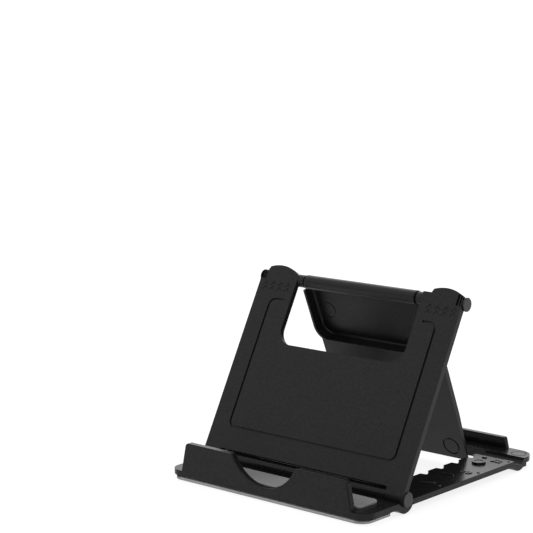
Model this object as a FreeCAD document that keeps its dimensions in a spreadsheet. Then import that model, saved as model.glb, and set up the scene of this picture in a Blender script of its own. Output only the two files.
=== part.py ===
import FreeCAD, Part
import math
import os
import Sketcher

# Folding tablet and phone stand: a moulded base frame with a front lip, a back
# panel hinged on the base and a support leg hinged on the top of the panel.
# +Z is up, the front lip faces -Y, X is the width.  The origin is on the
# ground, midway between the front and rear edges.  Millimetres throughout.

V = FreeCAD.Vector
doc = FreeCAD.newDocument("phone_stand")

DIMS = [
    ("base_half", 43.05, "half width of the base frame"),
    ("depth", 100.0, "front to rear of the base frame"),
    ("plate_low", 2.3, "underside of the base plate above the ground"),
    ("plate_top", 4.2, "top of the base plate above the ground"),
    ("open_half", 27.0, "half width of the central opening at the tooth crests"),
    ("open_front", 19.6, "front edge of the central opening, from the front"),
    ("notch_deep", 2.2, "depth of the notches into the rails"),
    ("notch_pitch", 9.22, "spacing of the notches"),
    ("notch_rear", 79.3, "front wall of the rear-most notch, from the front"),
    ("axis_y", 21.0, "lower hinge axis from the front"),
    ("axis_z", 5.02, "lower hinge axis above the ground"),
    ("span", 67.5, "lower hinge axis to upper hinge axis along the panel"),
    ("rise", 0.5, "upper hinge axis off the panel mid line"),
    ("lean", 61.9, "panel angle above the base"),
    ("leg_dir", 66.3, "leg angle above the base, behind the panel"),
    ("cup_out", 4.8, "outer radius of the hinge cups"),
    ("cup_in", 2.73, "inner radius of the hinge cups"),
    ("lug_in", 36.5, "inner face of the panel lugs"),
    ("knuckle", 2.65, "radius of the lug barrels"),
    ("trough_y", 88.45, "centre of the rear troughs from the front"),
    ("trough_z", 5.4, "centre of the rear troughs above the ground"),
    ("trough_in", 3.5, "inner radius of the rear troughs"),
    ("trough_out", 5.15, "outer radius of the rear troughs"),
    ("lip_low", 37.2, "half width of the front lip at the plate"),
    ("lip_high", 34.9, "half width of the front lip at its top"),
    ("lip_top", 14.3, "top of the front lip above the ground"),
    ("lip_wall", 2.25, "thickness of the front lip"),
    ("arch_big", 15.1, "radius of the finger arch in the front lip"),
    ("arch_z", 20.4, "centre of the finger arch above the ground"),
    ("tail_low", 31.5, "half width of the rear lip at the plate"),
    ("tail_high", 30.35, "half width of the rear lip at its top"),
    ("tail_top", 8.2, "top of the rear lip above the ground"),
    ("tail_wall", 1.9, "thickness of the rear lip"),
    ("bar_big", 2.45, "radius of the hinge bar across the base"),
    ("bar_full", 27.4, "the hinge bar is full round outside this half width"),
    ("panel_half", 43.8, "half width of the back panel"),
    ("panel_back", 0.8, "rear face of the panel off the lower axis"),
    ("panel_thick", 2.0, "thickness of the back panel"),
    ("window_half", 27.2, "half width of the window in the panel"),
    ("window_low", 43.1, "lower edge of the window from the lower axis"),
    ("stub_big", 2.25, "radius of the stub barrels"),
    ("stub_in", 24.7, "inner end of the stub barrels"),
    ("barrel_big", 2.5, "radius of the leg barrel"),
    ("barrel_half", 24.0, "half length of the leg barrel"),
    ("leg_half", 26.4, "half width of the leg"),
    ("leg_long", 68.6, "upper axis to the foot of the leg"),
    ("leg_near", 1.23, "front face of the leg plate behind the axis"),
    ("leg_thick", 1.9, "thickness of the leg plate"),
    ("dish_long", 24.2, "upper axis to the lower wall of the leg dish"),
    ("dish_rim", 1.2, "rim of the dish in front of the axis"),
    ("dish_floor", 3.0, "dish floor behind the axis"),
    ("dish_back", 4.2, "rear face of the dish behind the axis"),
    ("dish_wall", 0.8, "wall thickness of the dish"),
    ("rod_big", 1.2, "radius of the upper hinge rod"),
    ("rod_half", 38.5, "half length of the upper hinge rod"),
    ("rod_run", 1.26, "bore in the leg barrel"),
    ("cap_big", 2.4, "radius of the hinge caps"),
    ("cap_in", 43.8, "inner face of the hinge caps"),
    ("cap_out", 44.4, "outer face of the hinge caps"),
    ("pin_big", 1.1, "radius of the lower hinge pins"),
    ("pin_run", 1.16, "bore in the base ears"),
    ("pin_head", 2.45, "head radius of the lower hinge pins"),
    ("ear_in", 34.8, "inner face of the base ears"),
    ("ear_out", 36.2, "outer face of the base ears"),
    ("grip_half", 37.2, "half width of the grip pad"),
    ("grip_front", 4.4, "front edge of the grip pad from the front"),
    ("grip_rear", 15.05, "rear edge of the grip pad from the front"),
    ("grip_top", 5.1, "top of the grip pad above the ground"),
    ("strip_half", 42.0, "half width of the pad under the tray"),
    ("strip_front", 0.4, "front edge of the pad under the tray"),
    ("strip_rear", 15.2, "rear edge of the pad under the tray"),
    ("strip_low", 0.75, "underside of the pad under the tray"),
    ("foot_x", 37.0, "front feet off the centre line"),
    ("foot_x_rear", 30.0, "rear feet off the centre line"),
    ("foot_front", 5.7, "front feet from the front"),
    ("foot_rear", 96.7, "rear feet from the front"),
    ("foot_big", 3.2, "radius of the feet"),
    ("groove_half", 36.2, "half width of the panel groove"),
    ("groove_low", 10.7, "lower run of the groove from the lower axis"),
    ("groove_high", 59.0, "upper ends of the groove from the lower axis"),
    ("groove_wide", 0.8, "width of the panel groove"),
    ("groove_deep", 0.6, "depth of the panel groove"),
]

sheet = doc.addObject("Spreadsheet::Sheet", "Dims")
sheet.Label = "Dims"
D = {}
for row, (name, value, why) in enumerate(DIMS, start=1):
    sheet.set("A%d" % row, why)
    sheet.set("B%d" % row, "%g" % value)
    sheet.setAlias("B%d" % row, name)
    D[name] = value
doc.recompute()


class Q:
    """A length with the expression that yields it."""

    def __init__(self, value, text):
        self.value = float(value)
        self.text = text

    def __add__(self, other):
        other = as_q(other)
        return Q(self.value + other.value, "(%s + %s)" % (self.text, other.text))

    def __sub__(self, other):
        other = as_q(other)
        return Q(self.value - other.value, "(%s - %s)" % (self.text, other.text))

    def __mul__(self, other):
        other = as_q(other)
        return Q(self.value * other.value, "(%s * %s)" % (self.text, other.text))

    def __neg__(self):
        return Q(-self.value, "(0 - %s)" % self.text)


def as_q(item):
    if isinstance(item, Q):
        return item
    return Q(item, "%.6g" % item if item >= 0 else "(0 - %.6g)" % -item)


def q(name):
    return Q(D[name], "Dims." + name)


def fy(item):
    """Distance from the front edge turned into a Y coordinate."""
    return as_q(item) - q("depth") * 0.5


def new_body(name):
    body = doc.addObject("PartDesign::Body", name)
    body.Label = name
    return body


def plane_of(body, role):
    for item in body.Origin.OriginFeatures:
        if getattr(item, "Role", "") == role:
            return item
    raise RuntimeError("no plane " + role)


def attach(sk, body, role, off):
    sk.AttachmentSupport = (plane_of(body, role), "")
    sk.MapMode = "FlatFace"
    off = as_q(off)
    sk.AttachmentOffset = FreeCAD.Placement(V(0, 0, off.value), FreeCAD.Rotation())
    sk.setExpression("AttachmentOffset.Base.z", off.text)


def fix_point(sk, geo, pos, x, y):
    for kind, axis, item in (("DistanceX", -2, x), ("DistanceY", -1, y)):
        item = as_q(item)
        if abs(item.value) < 1e-9:
            sk.addConstraint(Sketcher.Constraint("PointOnObject", geo, pos, axis))
            continue
        n = sk.addConstraint(Sketcher.Constraint(kind, -1, 1, geo, pos, item.value))
        if "Dims" in item.text:
            sk.setExpression("Constraints[%d]" % n, item.text)


def poly_sketch(body, name, role, off, loops):
    """Closed polygons, every corner located from the dimension table."""
    sk = body.newObject("Sketcher::SketchObject", name)
    attach(sk, body, role, off)
    for loop in loops:
        pts = [(as_q(a), as_q(b)) for a, b in loop]
        first = None
        ids = []
        for k in range(len(pts)):
            a = pts[k]
            b = pts[(k + 1) % len(pts)]
            ids.append(sk.addGeometry(Part.LineSegment(
                V(a[0].value, a[1].value, 0), V(b[0].value, b[1].value, 0)), False))
        for k in range(len(ids)):
            sk.addConstraint(Sketcher.Constraint(
                "Coincident", ids[k], 2, ids[(k + 1) % len(ids)], 1))
        for k in range(len(ids)):
            fix_point(sk, ids[k], 1, pts[k][0], pts[k][1])
    return sk


def wire_sketch(body, name, role, off, wires):
    """Closed wires of lines and three-point arcs: ('L', end) or ('A', mid, end)."""
    sk = body.newObject("Sketcher::SketchObject", name)
    attach(sk, body, role, off)
    for wire in wires:
        start = wire[0]
        here = start
        for seg in wire[1:]:
            if seg[0] == "L":
                sk.addGeometry(Part.LineSegment(V(here[0], here[1], 0), V(seg[1][0], seg[1][1], 0)), False)
                here = seg[1]
            else:
                sk.addGeometry(Part.Arc(V(here[0], here[1], 0), V(seg[1][0], seg[1][1], 0),
                                        V(seg[2][0], seg[2][1], 0)), False)
                here = seg[2]
    return sk


def ring_sketch(body, name, role, off, circles):
    sk = body.newObject("Sketcher::SketchObject", name)
    attach(sk, body, role, off)
    for x, y, rad in circles:
        x, y, rad = as_q(x), as_q(y), as_q(rad)
        g = sk.addGeometry(Part.Circle(V(x.value, y.value, 0), V(0, 0, 1), rad.value), False)
        fix_point(sk, g, 3, x, y)
        n = sk.addConstraint(Sketcher.Constraint("Radius", g, rad.value))
        if "Dims" in rad.text:
            sk.setExpression("Constraints[%d]" % n, rad.text)
    return sk


def arc_mid(cx, cy, rad, deg):
    return (cx + rad * math.cos(math.radians(deg)), cy + rad * math.sin(math.radians(deg)))


def pad(body, name, sk, length, back=False):
    f = body.newObject("PartDesign::Pad", name)
    f.Profile = sk
    length = as_q(length)
    f.Length = length.value
    f.setExpression("Length", length.text)
    f.Reversed = back
    sk.Visibility = False
    doc.recompute()
    return f


def pocket(body, name, sk, length, back=False):
    before = body.Shape.Volume
    f = body.newObject("PartDesign::Pocket", name)
    f.Profile = sk
    length = as_q(length)
    f.Length = length.value
    f.setExpression("Length", length.text)
    f.Reversed = back
    sk.Visibility = False
    doc.recompute()
    if body.Shape.Volume > before - 1e-6:
        f.Reversed = not back
        doc.recompute()
    return f


def place(f, x, y, z, rot):
    x, y, z = as_q(x), as_q(y), as_q(z)
    f.Placement = FreeCAD.Placement(V(x.value, y.value, z.value), rot)
    f.setExpression("Placement.Base.x", x.text)
    f.setExpression("Placement.Base.y", y.text)
    f.setExpression("Placement.Base.z", z.text)


ALONG_X = FreeCAD.Rotation(V(0, 1, 0), 90)
UPRIGHT = FreeCAD.Rotation()


def cyl(body, name, add, rad, x0, x1, y, z):
    """Round bar or bore along X from x0 to x1."""
    f = body.newObject("PartDesign::AdditiveCylinder" if add else "PartDesign::SubtractiveCylinder", name)
    rad, x0, x1 = as_q(rad), as_q(x0), as_q(x1)
    f.Radius = rad.value
    f.setExpression("Radius", rad.text)
    f.Height = (x1 - x0).value
    f.setExpression("Height", (x1 - x0).text)
    place(f, x0, y, z, ALONG_X)
    doc.recompute()
    return f


def post(body, name, add, rad, x, y, z0, z1):
    """Upright round boss or hole from z0 to z1."""
    f = body.newObject("PartDesign::AdditiveCylinder" if add else "PartDesign::SubtractiveCylinder", name)
    rad, z0, z1 = as_q(rad), as_q(z0), as_q(z1)
    f.Radius = rad.value
    f.setExpression("Radius", rad.text)
    f.Height = (z1 - z0).value
    f.setExpression("Height", (z1 - z0).text)
    place(f, x, y, z0, UPRIGHT)
    doc.recompute()
    return f


def block(body, name, add, x0, x1, y0, y1, z0, z1):
    f = body.newObject("PartDesign::AdditiveBox" if add else "PartDesign::SubtractiveBox", name)
    x0, x1, y0, y1, z0, z1 = [as_q(i) for i in (x0, x1, y0, y1, z0, z1)]
    for attr, size in (("Length", x1 - x0), ("Width", y1 - y0), ("Height", z1 - z0)):
        setattr(f, attr, size.value)
        f.setExpression(attr, size.text)
    place(f, x0, y0, z0, UPRIGHT)
    doc.recompute()
    return f


def round_edges(body, name, rad, pick, chamfer=False):
    """Fillet or chamfer the edges of the current shape that pick() accepts."""
    tip = body.Tip
    names = []
    for k, edge in enumerate(tip.Shape.Edges, start=1):
        if pick(edge):
            names.append("Edge%d" % k)
    if not names:
        print("no edges for", name)
        return None
    f = body.newObject("PartDesign::Chamfer" if chamfer else "PartDesign::Fillet", name)
    f.Base = (tip, names)
    if chamfer:
        f.Size = rad
    else:
        f.Radius = rad
    doc.recompute()
    if "Invalid" in f.State or f.Shape.isNull() or not f.Shape.isValid():
        print("dropped", name)
        body.removeObject(f)
        doc.removeObject(f.Name)
        body.Tip = tip
        doc.recompute()
        return None
    return f


def upright_at(points, tol=0.05):
    def pick(edge):
        a, b = edge.Vertexes[0].Point, edge.Vertexes[-1].Point
        if abs(a.x - b.x) > 1e-4 or abs(a.y - b.y) > 1e-4 or abs(a.z - b.z) < 0.2:
            return False
        return any(abs(a.x - p[0]) < tol and abs(a.y - p[1]) < tol for p in points)
    return pick


def along_y_at(points, tol=0.05):
    def pick(edge):
        a, b = edge.Vertexes[0].Point, edge.Vertexes[-1].Point
        if abs(a.x - b.x) > 1e-4 or abs(a.z - b.z) > 1e-4 or abs(a.y - b.y) < 0.2:
            return False
        return any(abs(a.x - p[0]) < tol and abs(a.z - p[1]) < tol for p in points)
    return pick


# ------------------------------------------------------------------ base frame
base = new_body("base_frame")
W = q("base_half")
front = fy(0)
rear = fy(q("depth"))
sk = poly_sketch(base, "plate_outline", "XY_Plane", q("plate_low"),
                 [[(-W, front), (W, front), (W, rear), (-W, rear)]])
pad(base, "plate", sk, q("plate_top") - q("plate_low"))
yf, yr = -D["depth"] / 2, D["depth"] / 2
round_edges(base, "front_corners", 5.0, upright_at([(-D["base_half"], yf), (D["base_half"], yf)]))
round_edges(base, "rear_corners", 6.5, upright_at([(-D["base_half"], yr), (D["base_half"], yr)]))

# central opening, with the five notches down each rail
side = [(q("open_half"), fy(q("open_front")))]
for k in range(4, -1, -1):
    wall = q("notch_rear") - q("notch_pitch") * k
    deep = q("open_half") + q("notch_deep")
    side += [
        (q("open_half"), fy(wall - 0.25)),
        (deep, fy(wall + 0.15)),
        (deep, fy(wall + 1.2)),
        (q("open_half") + q("notch_deep") * 0.58, fy(wall + 2.9)),
        (q("open_half") + q("notch_deep") * 0.42, fy(wall + 3.6)),
        (q("open_half") + q("notch_deep") * 0.14, fy(wall + 3.8)),
        (q("open_half"), fy(wall + 4.2)),
    ]
side.append((q("open_half") + 0.05, fy(q("notch_rear") + 5.0)))
side.append((q("open_half") + 0.6, fy(q("notch_rear") + 5.7)))
side.append((q("open_half") + q("notch_deep"), fy(q("notch_rear") + 6.2)))
side.append((q("open_half") + q("notch_deep"), fy(q("trough_y") - 3.3)))
side.append((q("open_half"), fy(q("trough_y") - 3.25)))
side.append((q("open_half"), fy(q("trough_y") + 3.35)))
left = [(-a, b) for a, b in reversed(side)]
sk = poly_sketch(base, "opening_outline", "XY_Plane", q("plate_low") - 1.0, [side + left])
pocket(base, "opening", sk, 5.0, True)

# gaps for the hinge cups and the rear troughs
loops = []
for s in (1, -1):
    a, b = (q("ear_out") + 0.1), (W + 1.0)
    c = q("open_half") - 1.0
    if s < 0:
        a, b, c = -b, -a, -b
        d = -(q("open_half") - 1.0)
    else:
        d = b
    loops.append([(a, fy(q("axis_y") - 3.9)), (b, fy(q("axis_y") - 3.9)),
                  (b, fy(q("axis_y") + 3.9)), (a, fy(q("axis_y") + 3.9))])
    loops.append([(c, fy(q("trough_y") - 3.35)), (d, fy(q("trough_y") - 3.35)),
                  (d, fy(q("trough_y") + 3.35)), (c, fy(q("trough_y") + 3.35))])
sk = poly_sketch(base, "gap_outline", "XY_Plane", q("plate_low") - 1.0, loops)
pocket(base, "gaps", sk, 5.0, True)

ay, az = fy(q("axis_y")), q("axis_z")
ty, tz = fy(q("trough_y")), q("trough_z")
cyl(base, "cup_right", True, q("cup_out"), q("ear_out"), W, ay, az)
cyl(base, "cup_left", True, q("cup_out"), -W, -q("ear_out"), ay, az)
cyl(base, "trough_right", True, q("trough_out"), q("open_half"), W, ty, tz)
cyl(base, "trough_left", True, q("trough_out"), -W, -q("open_half"), ty, tz)
block(base, "level_top", False, -(W + 2.0), W + 2.0, fy(-2.0), fy(q("depth") + 2.0), q("plate_top"), 14.0)
cyl(base, "cup_bore_right", False, q("cup_in"), q("ear_out"), W + 1.0, ay, az)
cyl(base, "cup_bore_left", False, q("cup_in"), -(W + 1.0), -q("ear_out"), ay, az)
cyl(base, "trough_bore_right", False, q("trough_in"), q("open_half") - 0.5, W + 1.0, ty, tz)
cyl(base, "trough_bore_left", False, q("trough_in"), -(W + 1.0), -(q("open_half") - 0.5), ty, tz)

# skirt below the front of the rear plate
block(base, "rear_skirt", True, -(W - 0.15), W - 0.15, fy(q("trough_y") + 3.3), fy(q("trough_y") + 4.95),
      0.9, q("plate_top"))

# hinge bar across the base behind the tray: full round at its ends, where the
# lower pins run, and half round between the rails, clear of the folded leg
ey, ez, er = D["axis_y"] - D["depth"] / 2, D["axis_z"], D["bar_big"]
ear = [(ey - er, 3.0), ("L", (ey + er, 3.0)), ("L", (ey + er, ez)), ("A", (ey, ez + er), (ey - er, ez)),
       ("L", (ey - er, 3.0))]
cut, floor = 1.05, -0.45
half = [(ey - er, 3.2), ("L", (ey - er, ez)),
        ("A", (ey + er * math.cos(math.radians(122)), ez + er * math.sin(math.radians(122))),
         (ey + cut, ez + math.sqrt(er ** 2 - cut ** 2))),
        ("L", (ey + 0.3, ez + floor)), ("L", (ey - 1.45, ez + floor)), ("L", (ey - 1.45, 3.2)), ("L", (ey - er, 3.2))]
for s, tag in ((1, "right"), (-1, "left")):
    at = q("bar_full") if s > 0 else -q("ear_out")
    sk = wire_sketch(base, "ear_outline_" + tag, "YZ_Plane", at, [ear])
    pad(base, "ear_" + tag, sk, q("ear_out") - q("bar_full"))
sk = wire_sketch(base, "bar_outline", "YZ_Plane", -(q("bar_full") + 0.3), [half])
pad(base, "hinge_bar", sk, q("bar_full") * 2.0 + 0.6)
sk = ring_sketch(base, "ear_hole_outline", "YZ_Plane", -(q("ear_out") + 0.05), [(ay, az, q("pin_run"))])
pocket(base, "ear_hole_left", sk, q("ear_out") - q("ear_in") + 0.6, True)
sk = ring_sketch(base, "ear_hole_outline_2", "YZ_Plane", q("ear_in") - 0.55, [(ay, az, q("pin_run"))])
pocket(base, "ear_hole_right", sk, q("ear_out") - q("ear_in") + 0.6, True)

# front lip with its finger arch
sk = poly_sketch(base, "lip_outline", "XZ_Plane", -front,
                 [[(-q("lip_low"), q("plate_low") + 0.6), (q("lip_low"), q("plate_low") + 0.6),
                   (q("lip_high"), q("lip_top")), (-q("lip_high"), q("lip_top"))]])
pad(base, "front_lip", sk, q("lip_wall"), True)
round_edges(base, "lip_corners", 1.4,
            along_y_at([(-D["lip_high"], D["lip_top"]), (D["lip_high"], D["lip_top"])]))
sk = ring_sketch(base, "arch_outline", "XZ_Plane", -front + 1.0, [(0.0, q("arch_z"), q("arch_big"))])
pocket(base, "finger_arch", sk, q("lip_wall") + 2.0)


def arch_lip(edge):
    a, b = edge.Vertexes[0].Point, edge.Vertexes[-1].Point
    return (abs(a.x - b.x) < 1e-3 and abs(a.z - D["lip_top"]) < 1e-3 and abs(b.z - D["lip_top"]) < 1e-3
            and abs(abs(a.y - b.y) - D["lip_wall"]) < 1e-3 and abs(a.x) < 20)


round_edges(base, "arch_corners", 1.6, arch_lip)


def lip_rim(edge):
    pts = [v.Point for v in edge.Vertexes]
    if len(pts) < 2:
        return False
    return all(p.z > D["lip_top"] - 1e-3 and abs(p.y - yf) < 1e-3 for p in pts)


round_edges(base, "lip_rim_front", 0.35, lip_rim)

# rear lip
sk = poly_sketch(base, "tail_outline", "XZ_Plane", -rear,
                 [[(-q("tail_low"), q("plate_top") - 0.8), (q("tail_low"), q("plate_top") - 0.8),
                   (q("tail_high"), q("tail_top")), (-q("tail_high"), q("tail_top"))]])
pad(base, "rear_lip", sk, q("tail_wall"))
round_edges(base, "tail_corners", 0.9,
            along_y_at([(-D["tail_high"], D["tail_top"]), (D["tail_high"], D["tail_top"])]))

# round bosses on the rails and the round marks on the rear plate
for s, tag in ((1, "right"), (-1, "left")):
    post(base, "boss_" + tag, True, 2.45, as_q(34.6 * s), fy(75.6), q("plate_top") - 0.4, q("plate_top") + 0.75)
    post(base, "boss_dimple_" + tag, False, 1.65, as_q(34.6 * s), fy(75.6), q("plate_top") + 0.6, q("plate_top") + 1.2)
sk = ring_sketch(base, "mark_outline", "XY_Plane", q("plate_top"),
                 [(38.4, fy(95.3), 2.9), (38.4, fy(95.3), 2.5), (-38.4, fy(95.3), 2.9), (-38.4, fy(95.3), 2.5)])
pocket(base, "round_marks", sk, 0.2)

# ------------------------------------------------------------------ back panel
panel = new_body("back_panel")
PH, SP = D["panel_half"], D["span"]
lug = D["ear_out"] + 0.3
crown_x, crown_v, crown_r = 35.9, 57.4, 14.25


def crown(x):
    return crown_v + math.sqrt(crown_r ** 2 - (abs(x) - crown_x) ** 2)


low = 2.5
wh = D["window_half"]
outline = [
    (-PH, 0.0),
    ("L", (-lug, 0.0)), ("L", (-lug, low - 0.6)), ("A", (-lug + 0.18, low - 0.18), (-lug + 0.6, low)),
    ("L", (lug - 0.6, low)), ("A", (lug - 0.18, low - 0.18), (lug, low - 0.6)), ("L", (lug, 0.0)),
    ("L", (PH, 0.0)), ("L", (PH, 68.3)),
    ("A", (PH - 0.25, 69.1), (PH - 0.95, crown(PH - 0.95))),
    ("A", (36.8, crown(36.8)), (31.1, crown(31.1))),
    ("L", (30.5, 69.5)), ("L", (wh, 69.5)), ("L", (wh, 64.0)), ("L", (-wh, 64.0)), ("L", (-wh, crown(-wh))),
    ("A", (-34.0, crown(-34.0)), (-40.8, crown(-40.8))),
    ("L", (-41.4, 69.5)), ("L", (-42.9, 69.3)),
    ("A", (-43.55, 68.95), (-PH, 68.3)),
    ("L", (-PH, 0.0)),
]
sk = wire_sketch(panel, "panel_outline", "XY_Plane", q("panel_back"), [outline])
pad(panel, "panel_plate", sk, q("panel_thick"))
R = 6.0
wl = D["window_low"]
win = [
    (-wh, 80.0), ("L", (-wh, wl + R)), ("A", arc_mid(-wh + R, wl + R, R, 225), (-wh + R, wl)),
    ("L", (wh - R, wl)), ("A", arc_mid(wh - R, wl + R, R, 315), (wh, wl + R)),
    ("L", (wh, 80.0)), ("L", (-wh, 80.0)),
]
sk = wire_sketch(panel, "window_outline", "XY_Plane", q("panel_back") - 1.0, [win])
pocket(panel, "window", sk, q("panel_thick") + 3.0, True)
for s, tag in ((1, "right"), (-1, "left")):
    a, b = (q("stub_in"), q("panel_half")) if s > 0 else (-q("panel_half"), -q("stub_in"))
    cyl(panel, "stub_" + tag, True, q("stub_big"), a, b, q("span"), q("rise"))
    a, b = (q("lug_in"), q("panel_half")) if s > 0 else (-q("panel_half"), -q("lug_in"))
    cyl(panel, "lug_barrel_" + tag, True, q("knuckle"), a, b, 0.0, 0.0)
for s, tag in ((1, "right"), (-1, "left")):
    a, b = (q("stub_in") - 1.0, q("rod_half")) if s > 0 else (-q("rod_half"), -(q("stub_in") - 1.0))
    cyl(panel, "rod_bore_" + tag, False, q("rod_big"), a, b, q("span"), q("rise"))
    a, b = (q("rod_half") - 0.1, q("panel_half") + 1.0) if s > 0 else (-(q("panel_half") + 1.0), -(q("rod_half") - 0.1))
    cyl(panel, "cap_bore_" + tag, False, 1.3, a, b, q("span"), q("rise"))
    a, b = (q("lug_in") - 1.0, q("panel_half") + 1.0) if s > 0 else (-(q("panel_half") + 1.0), -(q("lug_in") - 1.0))
    cyl(panel, "pin_bore_" + tag, False, q("pin_big"), a, b, 0.0, 0.0)

# thicker hinge edge on the rear side of the panel, hollowed to run round the hinge bar
run = D["bar_big"] + 0.1
hinge = [(math.sqrt(run ** 2 - 0.36), -0.6),
         ("A", (run * math.cos(math.radians(4.75)), run * math.sin(math.radians(4.75))), (math.sqrt(run ** 2 - 1.0), 1.0)),
         ("L", (4.6, 1.0)), ("L", (4.6, 0.3)), ("L", (3.7, -0.6)), ("L", (math.sqrt(run ** 2 - 0.36), -0.6))]
sk = wire_sketch(panel, "hinge_edge_outline", "YZ_Plane", -(q("ear_out") - 0.3), [hinge])
pad(panel, "hinge_edge", sk, (q("ear_out") - 0.3) * 2.0)

# decorative groove
gh, gl, gt, hw = D["groove_half"], D["groove_low"], D["groove_high"], D["groove_wide"] / 2
rb, rt = 2.6, 2.6
o, i = hw, -hw
end = 30.4
groove = [
    (-end, gt + o), ("L", (-gh + rt, gt + o)),
    ("A", arc_mid(-gh + rt, gt - rt, rt + o, 135), (-gh - o, gt - rt)),
    ("L", (-gh - o, gl + rb)), ("A", arc_mid(-gh + rb, gl + rb, rb + o, 225), (-gh + rb, gl - o)),
    ("L", (gh - rb, gl - o)), ("A", arc_mid(gh - rb, gl + rb, rb + o, 315), (gh + o, gl + rb)),
    ("L", (gh + o, gt - rt)), ("A", arc_mid(gh - rt, gt - rt, rt + o, 45), (gh - rt, gt + o)),
    ("L", (end, gt + o)), ("L", (end, gt - o)), ("L", (gh - rt, gt - o)),
    ("A", arc_mid(gh - rt, gt - rt, rt - o, 45), (gh - o, gt - rt)),
    ("L", (gh - o, gl + rb)), ("A", arc_mid(gh - rb, gl + rb, rb - o, 315), (gh - rb, gl + o)),
    ("L", (-gh + rb, gl + o)), ("A", arc_mid(-gh + rb, gl + rb, rb - o, 225), (-gh + o, gl + rb)),
    ("L", (-gh + o, gt - rt)), ("A", arc_mid(-gh + rt, gt - rt, rt - o, 135), (-gh + rt, gt - o)),
    ("L", (-end, gt - o)), ("L", (-end, gt + o)),
]
sk = wire_sketch(panel, "groove_outline", "XY_Plane", q("panel_back") + q("panel_thick"), [groove])
pocket(panel, "groove", sk, q("groove_deep"))


# rows of double chevrons pointing to the upper hinge on both ears
def chevrons(x0, y0, wid, gap, count, st):
    loops = []
    for k in range(count):
        x = x0 + k * (wid + gap)
        for y in (y0, y0 + 1.75):
            loops.append([(x, y), (x + st * 0.9, y), (x + wid / 2, y + 1.0), (x + wid - st * 0.9, y), (x + wid, y),
                          (x + wid, y + 0.25), (x + wid / 2, y + 1.7), (x, y + 0.25)])
    return loops


text = chevrons(-41.7, 62.0, 2.6, 0.75, 4, 0.6) + chevrons(30.2, 62.0, 2.6, 0.75, 4, 0.6)
wires = []
for loop in text:
    wires.append([loop[0]] + [("L", p) for p in loop[1:]] + [("L", loop[0])])
sk = wire_sketch(panel, "chevron_outline", "XY_Plane", q("panel_back") + q("panel_thick"), wires)
pocket(panel, "chevrons_cut", sk, 0.22)

# ribbed recess in the outer top corner of both ears
face = q("panel_back") + q("panel_thick")
for s, tag in ((1, "right"), (-1, "left")):
    def span_x(a, b):
        return (as_q(a), as_q(b)) if s > 0 else (as_q(-b), as_q(-a))
    a, b = span_x(41.3, 45.5)
    block(panel, "corner_recess_" + tag, False, a, b, 66.1, 74.0, face - 0.45, face + 1.0)
    for k, (lo, hi) in enumerate(((41.3, 41.85), (42.25, 42.8), (43.2, 45.5))):
        a, b = span_x(lo, hi)
        block(panel, "corner_slot_%s_%d" % (tag, k + 1), False, a, b, 66.1, 74.0, face - 1.1, face - 0.2)

# ------------------------------------------------------------------ support leg
leg = new_body("support_leg")
LH = q("leg_half")
sk = poly_sketch(leg, "leg_outline", "XY_Plane", q("leg_near"),
                 [[(-LH, q("dish_long") - 4.0), (LH, q("dish_long") - 4.0), (LH, q("leg_long")), (-LH, q("leg_long"))]])
pad(leg, "leg_plate", sk, q("leg_thick"))
round_edges(leg, "foot_corners", 0.8,
            upright_at([(-D["leg_half"], D["leg_long"]), (D["leg_half"], D["leg_long"])]))
lh, dl, bh = D["leg_half"], D["dish_long"], D["barrel_half"]
R = 5.8
dish = [
    (-bh, 0.0), ("L", (-bh, 3.1)), ("L", (-lh, 3.1)), ("L", (-lh, dl - R)),
    ("A", arc_mid(-lh + R, dl - R, R, 135), (-lh + R, dl)), ("L", (lh - R, dl)),
    ("A", arc_mid(lh - R, dl - R, R, 45), (lh, dl - R)), ("L", (lh, 3.1)), ("L", (bh, 3.1)),
    ("L", (bh, 0.0)), ("L", (-bh, 0.0)),
]
sk = wire_sketch(leg, "dish_outline", "XY_Plane", -q("dish_rim"), [dish])
pad(leg, "dish_block", sk, q("dish_rim") + q("dish_back"))
wl2 = D["dish_wall"]
li, di, Ri = lh - wl2, dl - wl2, R - wl2
hollow = [
    (-li, 1.6), ("L", (-li, di - Ri)), ("A", arc_mid(-li + Ri, di - Ri, Ri, 135), (-li + Ri, di)),
    ("L", (li - Ri, di)), ("A", arc_mid(li - Ri, di - Ri, Ri, 45), (li, di - Ri)),
    ("L", (li, 1.6)), ("L", (-li, 1.6)),
]
sk = wire_sketch(leg, "hollow_outline", "XY_Plane", -(q("dish_rim") + 0.5), [hollow])
pocket(leg, "hollow", sk, q("dish_rim") + 0.5 + q("dish_floor"), True)


def hollow_floor(edge):
    zs = [v.Point.z for v in edge.Vertexes]
    ys = [v.Point.y for v in edge.Vertexes]
    xs = [v.Point.x for v in edge.Vertexes]
    if any(abs(z - D["dish_floor"]) > 1e-3 for z in zs):
        return False
    if max(ys) < 3.2 or max(ys) > di + 0.01:
        return False
    if abs(ys[0] - 1.6) < 0.01 and abs(ys[-1] - 1.6) < 0.01:
        return False
    return min(abs(x) for x in xs) > 5.0 or abs(ys[0] - di) < 0.01


round_edges(leg, "hollow_rounds", 0.9, hollow_floor)
round_edges(leg, "dish_back_round", 2.4,
            lambda e: len(e.Vertexes) == 2 and all(
                abs(v.Point.y) < 1e-3 and abs(v.Point.z - D["dish_back"]) < 1e-3 for v in e.Vertexes))
cyl(leg, "leg_barrel", True, q("barrel_big"), -q("barrel_half"), q("barrel_half"), 0.0, 0.0)
cyl(leg, "leg_bore", False, q("rod_run"), -(q("barrel_half") + 1.0), q("barrel_half") + 1.0, 0.0, 0.0)
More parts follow.
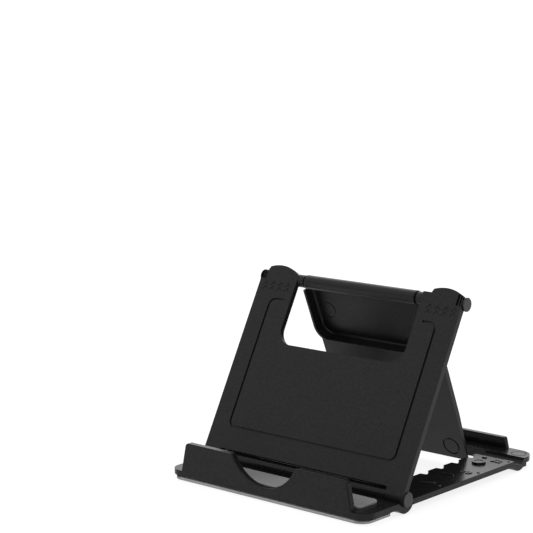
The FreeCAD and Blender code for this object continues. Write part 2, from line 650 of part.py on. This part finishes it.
# the foot thins towards its edge on the rear side
rear = D["leg_near"] + D["leg_thick"]
taper = [(50.0, rear), ("L", (D["leg_long"] + 0.5, rear - 1.3)), ("L", (D["leg_long"] + 0.5, rear + 1.0)),
         ("L", (50.0, rear + 1.0)), ("L", (50.0, rear))]
sk = wire_sketch(leg, "foot_taper_outline", "YZ_Plane", -(q("leg_half") + 1.0), [taper])
pocket(leg, "foot_taper", sk, (q("leg_half") + 1.0) * 2.0, True)
# flat along the front of the barrel and round marks on the foot and in the dish
block(leg, "barrel_flat", False, -(q("barrel_half") - 1.2), q("barrel_half") - 1.2, -1.3, 0.5,
      -(q("barrel_big") + 0.5), -(q("barrel_big") - 0.14))
sk = ring_sketch(leg, "leg_mark_outline", "XY_Plane", q("leg_near"),
                 [(20.6, 63.5, 3.5), (20.6, 63.5, 2.95), (-20.6, 63.5, 3.5), (-20.6, 63.5, 2.95)])
pocket(leg, "leg_marks", sk, 0.5)
sk = ring_sketch(leg, "dish_mark_outline", "XY_Plane", q("dish_floor"),
                 [(20.9, 13.0, 3.3), (20.9, 13.0, 2.85), (-20.9, 13.0, 3.3), (-20.9, 13.0, 2.85)])
pocket(leg, "dish_marks", sk, 0.2)

# ------------------------------------------------------------------ hinge rod, caps and pins
rod = new_body("hinge_rod")
cyl(rod, "rod", True, q("rod_big"), -q("rod_half"), q("rod_half"), 0.0, 0.0)
caps = []
pins = []
for s, tag in ((1, "right"), (-1, "left")):
    cap = new_body("hinge_cap_" + tag)
    a, b = (q("rod_half") + 0.8, q("cap_in") + 0.3) if s > 0 else (-(q("cap_in") + 0.3), -(q("rod_half") + 0.8))
    cyl(cap, "cap_shank_" + tag, True, 1.3, a, b, 0.0, 0.0)
    a, b = (q("cap_in"), q("cap_out")) if s > 0 else (-q("cap_out"), -q("cap_in"))
    cyl(cap, "cap_head_" + tag, True, q("cap_big"), a, b, 0.0, 0.0)
    round_edges(cap, "cap_round_" + tag, 0.25,
                lambda e: abs(abs(e.Vertexes[0].Point.x) - D["cap_out"]) < 1e-3 and len(e.Vertexes) == 1)
    caps.append(cap)
    pin = new_body("lower_pin_" + tag)
    a, b = (q("ear_in") - 0.2, q("panel_half") + 0.4) if s > 0 else (-(q("panel_half") + 0.4), -(q("ear_in") - 0.2))
    cyl(pin, "pin_shank_" + tag, True, q("pin_big"), a, b, 0.0, 0.0)
    a, b = (q("panel_half"), q("panel_half") + 0.45) if s > 0 else (-(q("panel_half") + 0.45), -q("panel_half"))
    cyl(pin, "pin_head_" + tag, True, q("pin_head"), a, b, 0.0, 0.0)
    round_edges(pin, "pin_round_" + tag, 0.2,
                lambda e: abs(abs(e.Vertexes[0].Point.x) - D["panel_half"] - 0.45) < 1e-3 and len(e.Vertexes) == 1)
    pins.append(pin)

# ------------------------------------------------------------------ grip pad and feet
grip = new_body("tray_pad")
G = q("grip_half")
sk = poly_sketch(grip, "grip_outline", "XY_Plane", q("plate_top"),
                 [[(-G, fy(q("grip_front"))), (G, fy(q("grip_front"))), (G, fy(q("grip_rear"))), (-G, fy(q("grip_rear")))]])
pad(grip, "grip", sk, q("grip_top") - q("plate_top"))
gf, gr = D["grip_front"] - D["depth"] / 2, D["grip_rear"] - D["depth"] / 2
round_edges(grip, "grip_corners", 2.2,
            upright_at([(D["grip_half"], gf), (-D["grip_half"], gf), (D["grip_half"], gr), (-D["grip_half"], gr)]))
round_edges(grip, "grip_bevel", 0.25,
            lambda e: all(abs(v.Point.z - D["grip_top"]) < 1e-3 for v in e.Vertexes), True)
under = new_body("underside_pad")
S = q("strip_half")
sk = poly_sketch(under, "strip_outline", "XY_Plane", q("strip_low"),
                 [[(-S, fy(q("strip_front"))), (S, fy(q("strip_front"))), (S, fy(q("strip_rear"))),
                   (-S, fy(q("strip_rear")))]])
pad(under, "strip", sk, q("plate_low") - q("strip_low"))
sf, sr = D["strip_front"] - D["depth"] / 2, D["strip_rear"] - D["depth"] / 2
round_edges(under, "strip_corners", 4.4,
            upright_at([(D["strip_half"], sf), (-D["strip_half"], sf)]))
round_edges(under, "strip_rear_corners", 1.5,
            upright_at([(D["strip_half"], sr), (-D["strip_half"], sr)]))
feet = []
for end_name, at in (("front", q("foot_front")), ("rear", q("foot_rear"))):
    over = q("strip_low") if end_name == "front" else q("plate_low")
    for s, tag in ((1, "right"), (-1, "left")):
        foot = new_body("foot_%s_%s" % (end_name, tag))
        out = q("foot_x") if end_name == "front" else q("foot_x_rear")
        post(foot, "foot_%s_%s_disc" % (end_name, tag), True, q("foot_big"), out * s, fy(at), 0.0, over)
        round_edges(foot, "foot_%s_%s_round" % (end_name, tag), 0.4,
                    lambda e: all(abs(v.Point.z) < 1e-3 for v in e.Vertexes) and len(e.Vertexes) == 1)
        feet.append(foot)

# ------------------------------------------------------------------ positions
X = V(1, 0, 0)
lean = D["lean"]
cl, sl = "cos(Dims.lean * 1 deg)", "sin(Dims.lean * 1 deg)"


def pose(body, y_text, z_text, angle_text, angle):
    body.Placement = FreeCAD.Placement(V(0, 0, 0), FreeCAD.Rotation(X, angle))
    body.setExpression("Placement.Base.y", y_text)
    body.setExpression("Placement.Base.z", z_text)
    body.setExpression("Placement.Rotation.Angle", angle_text)


low_y = "Dims.axis_y - Dims.depth / 2"
low_z = "Dims.axis_z"
top_y = "%s + Dims.span * %s - Dims.rise * %s" % (low_y, cl, sl)
top_z = "%s + Dims.span * %s + Dims.rise * %s" % (low_z, sl, cl)
pose(panel, low_y, low_z, "Dims.lean * 1 deg", lean)
pose(leg, top_y, top_z, "Dims.leg_dir * -1 deg", -D["leg_dir"])
pose(rod, top_y, top_z, "Dims.lean * 1 deg", lean)
for cap in caps:
    pose(cap, top_y, top_z, "Dims.lean * 1 deg", lean)
for pin in pins:
    pose(pin, low_y, low_z, "Dims.lean * 1 deg", lean)
doc.recompute()

bodies = [base, panel, leg, rod] + caps + pins + [grip, under] + feet
for obj in doc.Objects:
    if "Invalid" in obj.State or "Error" in obj.State:
        raise RuntimeError("object %s is %s" % (obj.Name, obj.State))
os.makedirs("parts", exist_ok=True)
for body in bodies:
    shape = body.Shape
    if shape.isNull() or not shape.isValid() or len(shape.Solids) != 1:
        raise RuntimeError("%s: null %s valid %s solids %d" % (
            body.Label, shape.isNull(), shape.isValid(), len(shape.Solids)))
    shape.exportStep("parts/%s.step" % body.Label)
    bb = shape.BoundBox
    print("%-18s vol %9.1f  x %7.2f %7.2f  y %7.2f %7.2f  z %7.2f %7.2f" % (
        body.Label, shape.Volume, bb.XMin, bb.XMax, bb.YMin, bb.YMax, bb.ZMin, bb.ZMax))
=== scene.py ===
import math

import bmesh
import bpy
from mathutils import Matrix, Vector


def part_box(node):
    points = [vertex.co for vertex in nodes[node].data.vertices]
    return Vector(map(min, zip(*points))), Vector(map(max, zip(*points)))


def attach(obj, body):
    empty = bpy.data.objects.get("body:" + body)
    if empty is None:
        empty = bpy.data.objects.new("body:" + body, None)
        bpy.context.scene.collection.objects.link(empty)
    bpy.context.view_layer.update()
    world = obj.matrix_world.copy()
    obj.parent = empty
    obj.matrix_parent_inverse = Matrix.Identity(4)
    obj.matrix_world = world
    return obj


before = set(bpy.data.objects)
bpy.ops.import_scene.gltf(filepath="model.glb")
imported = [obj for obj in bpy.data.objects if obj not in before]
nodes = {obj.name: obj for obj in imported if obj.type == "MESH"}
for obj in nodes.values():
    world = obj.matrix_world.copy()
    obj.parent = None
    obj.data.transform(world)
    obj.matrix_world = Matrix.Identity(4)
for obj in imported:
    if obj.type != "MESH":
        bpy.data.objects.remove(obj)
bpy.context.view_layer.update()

# ---------------------------------------------------------------- helpers


def new_material(name):
    mat = bpy.data.materials.new(name)
    mat.use_nodes = True
    tree = mat.node_tree
    for n in list(tree.nodes):
        tree.nodes.remove(n)
    out = tree.nodes.new("ShaderNodeOutputMaterial")
    bsdf = tree.nodes.new("ShaderNodeBsdfPrincipled")
    tree.links.new(bsdf.outputs[0], out.inputs[0])
    coord = tree.nodes.new("ShaderNodeTexCoord")
    return mat, tree, bsdf, coord


def noise(tree, coord, scale, detail=2.0, rough=0.5, stretch=None):
    src = coord.outputs["Object"]
    if stretch:
        m = tree.nodes.new("ShaderNodeMapping")
        m.inputs["Scale"].default_value = stretch
        tree.links.new(src, m.inputs["Vector"])
        src = m.outputs[0]
    n = tree.nodes.new("ShaderNodeTexNoise")
    n.inputs["Scale"].default_value = scale
    n.inputs["Detail"].default_value = detail
    n.inputs["Roughness"].default_value = rough
    tree.links.new(src, n.inputs["Vector"])
    return n.outputs["Fac"]


def ramp(tree, fac, low, high, a=0.35, b=0.65):
    r = tree.nodes.new("ShaderNodeMapRange")
    r.inputs["From Min"].default_value = a
    r.inputs["From Max"].default_value = b
    r.inputs["To Min"].default_value = low
    r.inputs["To Max"].default_value = high
    tree.links.new(fac, r.inputs["Value"])
    return r.outputs["Result"]


def colour(tree, fac, c0, c1, a=0.35, b=0.65):
    r = tree.nodes.new("ShaderNodeValToRGB")
    r.color_ramp.elements[0].position = a
    r.color_ramp.elements[0].color = (*c0, 1)
    r.color_ramp.elements[1].position = b
    r.color_ramp.elements[1].color = (*c1, 1)
    tree.links.new(fac, r.inputs["Fac"])
    return r.outputs["Color"]


def bump(tree, bsdf, heights):
    """heights: list of (socket, strength, distance), chained."""
    last = None
    for socket, strength, distance in heights:
        b = tree.nodes.new("ShaderNodeBump")
        b.inputs["Strength"].default_value = strength
        b.inputs["Distance"].default_value = distance
        tree.links.new(socket, b.inputs["Height"])
        if last is not None:
            tree.links.new(last, b.inputs["Normal"])
        last = b.outputs["Normal"]
    tree.links.new(last, bsdf.inputs["Normal"])


def moulded_black(name, dark=0.0060, light=0.0105, rough=(0.30, 0.42), grain=2600.0, strength=0.3, gloss=0.22):
    mat, tree, bsdf, coord = new_material(name)
    cloud = noise(tree, coord, 55.0, 3.0)
    fine = noise(tree, coord, grain, 2.0, 0.6)
    speck = noise(tree, coord, grain * 0.45, 1.0, 0.5)
    col = colour(tree, speck, (dark, dark, dark * 1.03), (light, light, light * 1.02))
    tree.links.new(col, bsdf.inputs["Base Color"])
    tree.links.new(ramp(tree, cloud, rough[0], rough[1]), bsdf.inputs["Roughness"])
    bsdf.inputs["Specular IOR Level"].default_value = gloss
    bump(tree, bsdf, [(fine, strength, 0.00003), (speck, strength * 0.6, 0.00004)])
    return mat


def soft_grey(name, dark, light, rough=(0.34, 0.44)):
    mat, tree, bsdf, coord = new_material(name)
    cloud = noise(tree, coord, 90.0, 3.0)
    fine = noise(tree, coord, 3200.0, 2.0, 0.55)
    tree.links.new(colour(tree, cloud, dark, light), bsdf.inputs["Base Color"])
    tree.links.new(ramp(tree, cloud, rough[0], rough[1]), bsdf.inputs["Roughness"])
    bump(tree, bsdf, [(fine, 0.2, 0.00002), (cloud, 0.12, 0.0001)])
    return mat


def ground_steel(name):
    mat, tree, bsdf, coord = new_material(name)
    streak = noise(tree, coord, 900.0, 3.0, 0.6, (0.4, 6.0, 6.0))
    tree.links.new(colour(tree, streak, (0.030, 0.030, 0.031), (0.055, 0.055, 0.056)), bsdf.inputs["Base Color"])
    tree.links.new(ramp(tree, streak, 0.32, 0.46), bsdf.inputs["Roughness"])
    bsdf.inputs["Metallic"].default_value = 1.0
    bump(tree, bsdf, [(streak, 0.15, 0.00001)])
    return mat


BLACK = moulded_black("black_moulding")
BLACK_BASE = moulded_black("black_base_moulding", 0.0055, 0.0095, (0.19, 0.28), 2200.0, 0.10, 0.17)
BLACK_CAP = moulded_black("black_cap", 0.007, 0.012, (0.24, 0.34), 3000.0, 0.2, 0.45)
BLACK_MARK = moulded_black("black_mark", 0.012, 0.018, (0.26, 0.34), 3000.0, 0.15, 0.5)
GREY_GRIP = soft_grey("grey_grip", (0.205, 0.205, 0.21), (0.24, 0.24, 0.245))
GREY_FOOT = soft_grey("grey_foot", (0.36, 0.36, 0.365), (0.42, 0.42, 0.425), (0.5, 0.62))
STEEL = ground_steel("ground_rod")

LOOK = {
    "base_frame": BLACK_BASE, "back_panel": BLACK, "support_leg": BLACK,
    "hinge_cap_left": BLACK_CAP, "hinge_cap_right": BLACK_CAP,
    "lower_pin_left": BLACK_CAP, "lower_pin_right": BLACK_CAP,
    "hinge_rod": STEEL, "tray_pad": GREY_GRIP, "underside_pad": GREY_FOOT,
    "foot_front_left": GREY_FOOT, "foot_front_right": GREY_FOOT,
    "foot_rear_left": GREY_FOOT, "foot_rear_right": GREY_FOOT,
}
EDGE = {"base_frame": 0.00022, "back_panel": 0.0002, "support_leg": 0.0002, "tray_pad": 0.00012}

for name, obj in nodes.items():
    mat = LOOK[name]
    if not obj.data.materials:
        obj.data.materials.append(mat)
    for k in range(len(obj.material_slots)):
        obj.material_slots[k].material = mat
    for poly in obj.data.polygons:
        poly.use_smooth = True
    weld = obj.modifiers.new("weld", "WELD")
    weld.merge_threshold = 0.000002
    if name != "back_panel":
        flat = obj.modifiers.new("planar", "DECIMATE")
        flat.decimate_type = "DISSOLVE"
        flat.angle_limit = math.radians(0.6)
    if name in EDGE:
        bev = obj.modifiers.new("edges", "BEVEL")
        bev.width = EDGE[name]
        bev.segments = 2
        bev.limit_method = "ANGLE"
        bev.angle_limit = math.radians(38)
        bev.use_clamp_overlap = True
        bev.miter_outer = "MITER_ARC"
        bev.harden_normals = False
    wn = obj.modifiers.new("shade", "WEIGHTED_NORMAL")
    wn.keep_sharp = False
    wn.weight = 80

# ---------------------------------------------------------------- raised marks on the rails
# Plain position numbers beside two of the notches, short ridges and small dots, all
# standing a little proud of the rail tops.
base_low, base_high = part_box("base_frame")
TOP = 0.0042          # top face of the base plate, as the base is drawn
FRONT = -0.050        # front edge of the base plate


def finish_mark(obj, name, mat=None):
    obj.name = name
    obj.data.materials.append(mat or BLACK_MARK)
    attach(obj, "base")
    return obj


def number(name, text, x, y, height=0.0030):
    cu = bpy.data.curves.new(name, "FONT")
    cu.body = text
    cu.size = height * 1.36
    cu.align_x = "CENTER"
    cu.align_y = "CENTER"
    cu.extrude = 0.00022
    cu.bevel_depth = 0.00005
    cu.bevel_resolution = 1
    cu.offset = 0.00006
    cu.space_character = 1.12
    obj = bpy.data.objects.new(name, cu)
    bpy.context.scene.collection.objects.link(obj)
    obj.location = (x, y, TOP)
    return finish_mark(obj, name)


def dot(name, x, y, r=0.00055):
    bm = bmesh.new()
    rings = [(r * 1.15, -0.0001), (r * 1.1, 0.00008), (r * 0.85, 0.0002), (r * 0.45, 0.00028)]
    n = 20
    rows = [[bm.verts.new((x + a * math.cos(2 * math.pi * k / n), y + a * math.sin(2 * math.pi * k / n), TOP + z))
             for k in range(n)] for a, z in rings]
    for i in range(len(rows) - 1):
        for k in range(n):
            bm.faces.new((rows[i][k], rows[i][(k + 1) % n], rows[i + 1][(k + 1) % n], rows[i + 1][k]))
    bm.faces.new(rows[-1])
    bm.faces.new(list(reversed(rows[0])))
    mesh = bpy.data.meshes.new(name)
    bm.to_mesh(mesh)
    bm.free()
    for p in mesh.polygons:
        p.use_smooth = True
    obj = bpy.data.objects.new(name, mesh)
    bpy.context.scene.collection.objects.link(obj)
    return finish_mark(obj, name)


def ridge(name, a, b, half=0.00048, tall=0.00042):
    """A low ridge with sloping sides and ends from a to b."""
    ax, ay = a
    bx, by = b
    ln = math.hypot(bx - ax, by - ay)
    ux, uy = (bx - ax) / ln, (by - ay) / ln
    nx, ny = -uy, ux

    def at(s, t, z):
        return (ax + ux * s + nx * t, ay + uy * s + ny * t, TOP + z)

    bm = bmesh.new()
    rows = []
    for inset, z in ((0.0, -0.0001), (0.00006, 0.0001), (0.00018, tall)):
        rows.append([bm.verts.new(at(s, t, z)) for s, t in (
            (inset, -half + inset), (ln - inset, -half + inset), (ln - inset, half - inset), (inset, half - inset))])
    for i in range(2):
        for k in range(4):
            bm.faces.new((rows[i][k], rows[i][(k + 1) % 4], rows[i + 1][(k + 1) % 4], rows[i + 1][k]))
    bm.faces.new(rows[-1])
    bm.faces.new(list(reversed(rows[0])))
    mesh = bpy.data.meshes.new(name)
    bm.to_mesh(mesh)
    bm.free()
    obj = bpy.data.objects.new(name, mesh)
    bpy.context.scene.collection.objects.link(obj)
    return finish_mark(obj, name)


for tag, side in (("right", 1.0), ("left", -1.0)):
    number("number_upper_" + tag, "62", side * 0.0380, FRONT + 0.0814)
    number("number_middle_" + tag, "70", side * 0.0380, FRONT + 0.0627)
    dot("dot_upper_" + tag, side * 0.0416, FRONT + 0.0838)
    dot("dot_middle_" + tag, side * 0.0416, FRONT + 0.0650)
    dot("dot_lower_" + tag, side * 0.0408, FRONT + 0.0430)
    ridge("ridge_upper_" + tag, (side * 0.0315, FRONT + 0.0825), (side * 0.0333, FRONT + 0.0825))
    ridge("ridge_middle_" + tag, (side * 0.0326, FRONT + 0.0558), (side * 0.0369, FRONT + 0.0570))
    ridge("ridge_lower_" + tag, (side * 0.03265, FRONT + 0.0422), (side * 0.0379, FRONT + 0.0448))

# ---------------------------------------------------------------- floor and light
bpy.ops.mesh.primitive_plane_add(size=60.0, location=(0, 0, 0))
floor = bpy.context.object
floor.name = "floor"
fmat, ftree, fbsdf, fcoord = new_material("pale_floor")
fbsdf.inputs["Base Color"].default_value = (0.22, 0.22, 0.22, 1)
fbsdf.inputs["Emission Color"].default_value = (1, 1, 1, 1)
fbsdf.inputs["Emission Strength"].default_value = 0.84
fbsdf.inputs["Roughness"].default_value = 0.9
fbsdf.inputs["Specular IOR Level"].default_value = 0.1
floor.data.materials.append(fmat)

world = bpy.data.worlds.new("studio")
bpy.context.scene.world = world
world.use_nodes = True
world.node_tree.nodes["Background"].inputs[0].default_value = (1, 1, 1, 1)
world.node_tree.nodes["Background"].inputs[1].default_value = 0.12
# the sky above the edge of the floor looks as white as the floor, and lights weakly
seen = world.node_tree.nodes.new("ShaderNodeBackground")
seen.inputs[0].default_value = (1, 1, 1, 1)
seen.inputs[1].default_value = 1.2
pick = world.node_tree.nodes.new("ShaderNodeMixShader")
path = world.node_tree.nodes.new("ShaderNodeLightPath")
world.node_tree.links.new(path.outputs["Is Camera Ray"], pick.inputs[0])
world.node_tree.links.new(world.node_tree.nodes["Background"].outputs[0], pick.inputs[1])
world.node_tree.links.new(seen.outputs[0], pick.inputs[2])
world.node_tree.links.new(pick.outputs[0], world.node_tree.nodes["World Output"].inputs[0])


def area(name, at, target, size, power):
    data = bpy.data.lights.new(name, "AREA")
    data.shape = "RECTANGLE"
    data.size = size[0]
    data.size_y = size[1]
    data.energy = power
    obj = bpy.data.objects.new(name, data)
    bpy.context.scene.collection.objects.link(obj)
    obj.location = at
    way = Vector(target) - Vector(at)
    obj.rotation_euler = way.to_track_quat("-Z", "Y").to_euler()
    return obj


sun = bpy.data.lights.new("overhead", "SUN")
sun.energy = 2.4
sun.angle = math.radians(150)
sun_obj = bpy.data.objects.new("overhead", sun)
bpy.context.scene.collection.objects.link(sun_obj)
sun_obj.rotation_euler = (math.radians(8), 0, 0)

# tall soft panel behind the stand, and a smaller soft light high in front of it
area("behind", (-1.25, 1.55, 0.95), (0, 0, 0.1), (3.0, 1.5), 18.0)
area("front_high", (0.0, -0.53, 1.09), (0, 0, 0.03), (0.5, 0.35), 1.6)

# ---------------------------------------------------------------- camera
cam_data = bpy.data.cameras.new("camera")
cam = bpy.data.objects.new("camera", cam_data)
bpy.context.scene.collection.objects.link(cam)
az, el, ro = math.radians(40.710), math.radians(9.188), math.radians(0.110)
back = Vector((math.sin(az) * math.cos(el), -math.cos(az) * math.cos(el), math.sin(el)))
right0 = Vector((math.cos(az), math.sin(az), 0))
up0 = back.cross(right0)
right = right0 * math.cos(ro) + up0 * math.sin(ro)
up = up0 * math.cos(ro) - right0 * math.sin(ro)
m = Matrix((
    (right.x, up.x, back.x, 0.36927), (right.y, up.y, back.y, -0.47740),
    (right.z, up.z, back.z, 0.17066), (0, 0, 0, 1)))
cam.matrix_world = m
cam_data.sensor_width = 36.0
cam_data.sensor_fit = "HORIZONTAL"
cam_data.lens = 1767.3 * 36.0 / 533.0
cam_data.clip_start = 0.01
cam_data.clip_end = 100.0
bpy.context.scene.camera = cam
bpy.context.scene.view_settings.view_transform = "Standard"
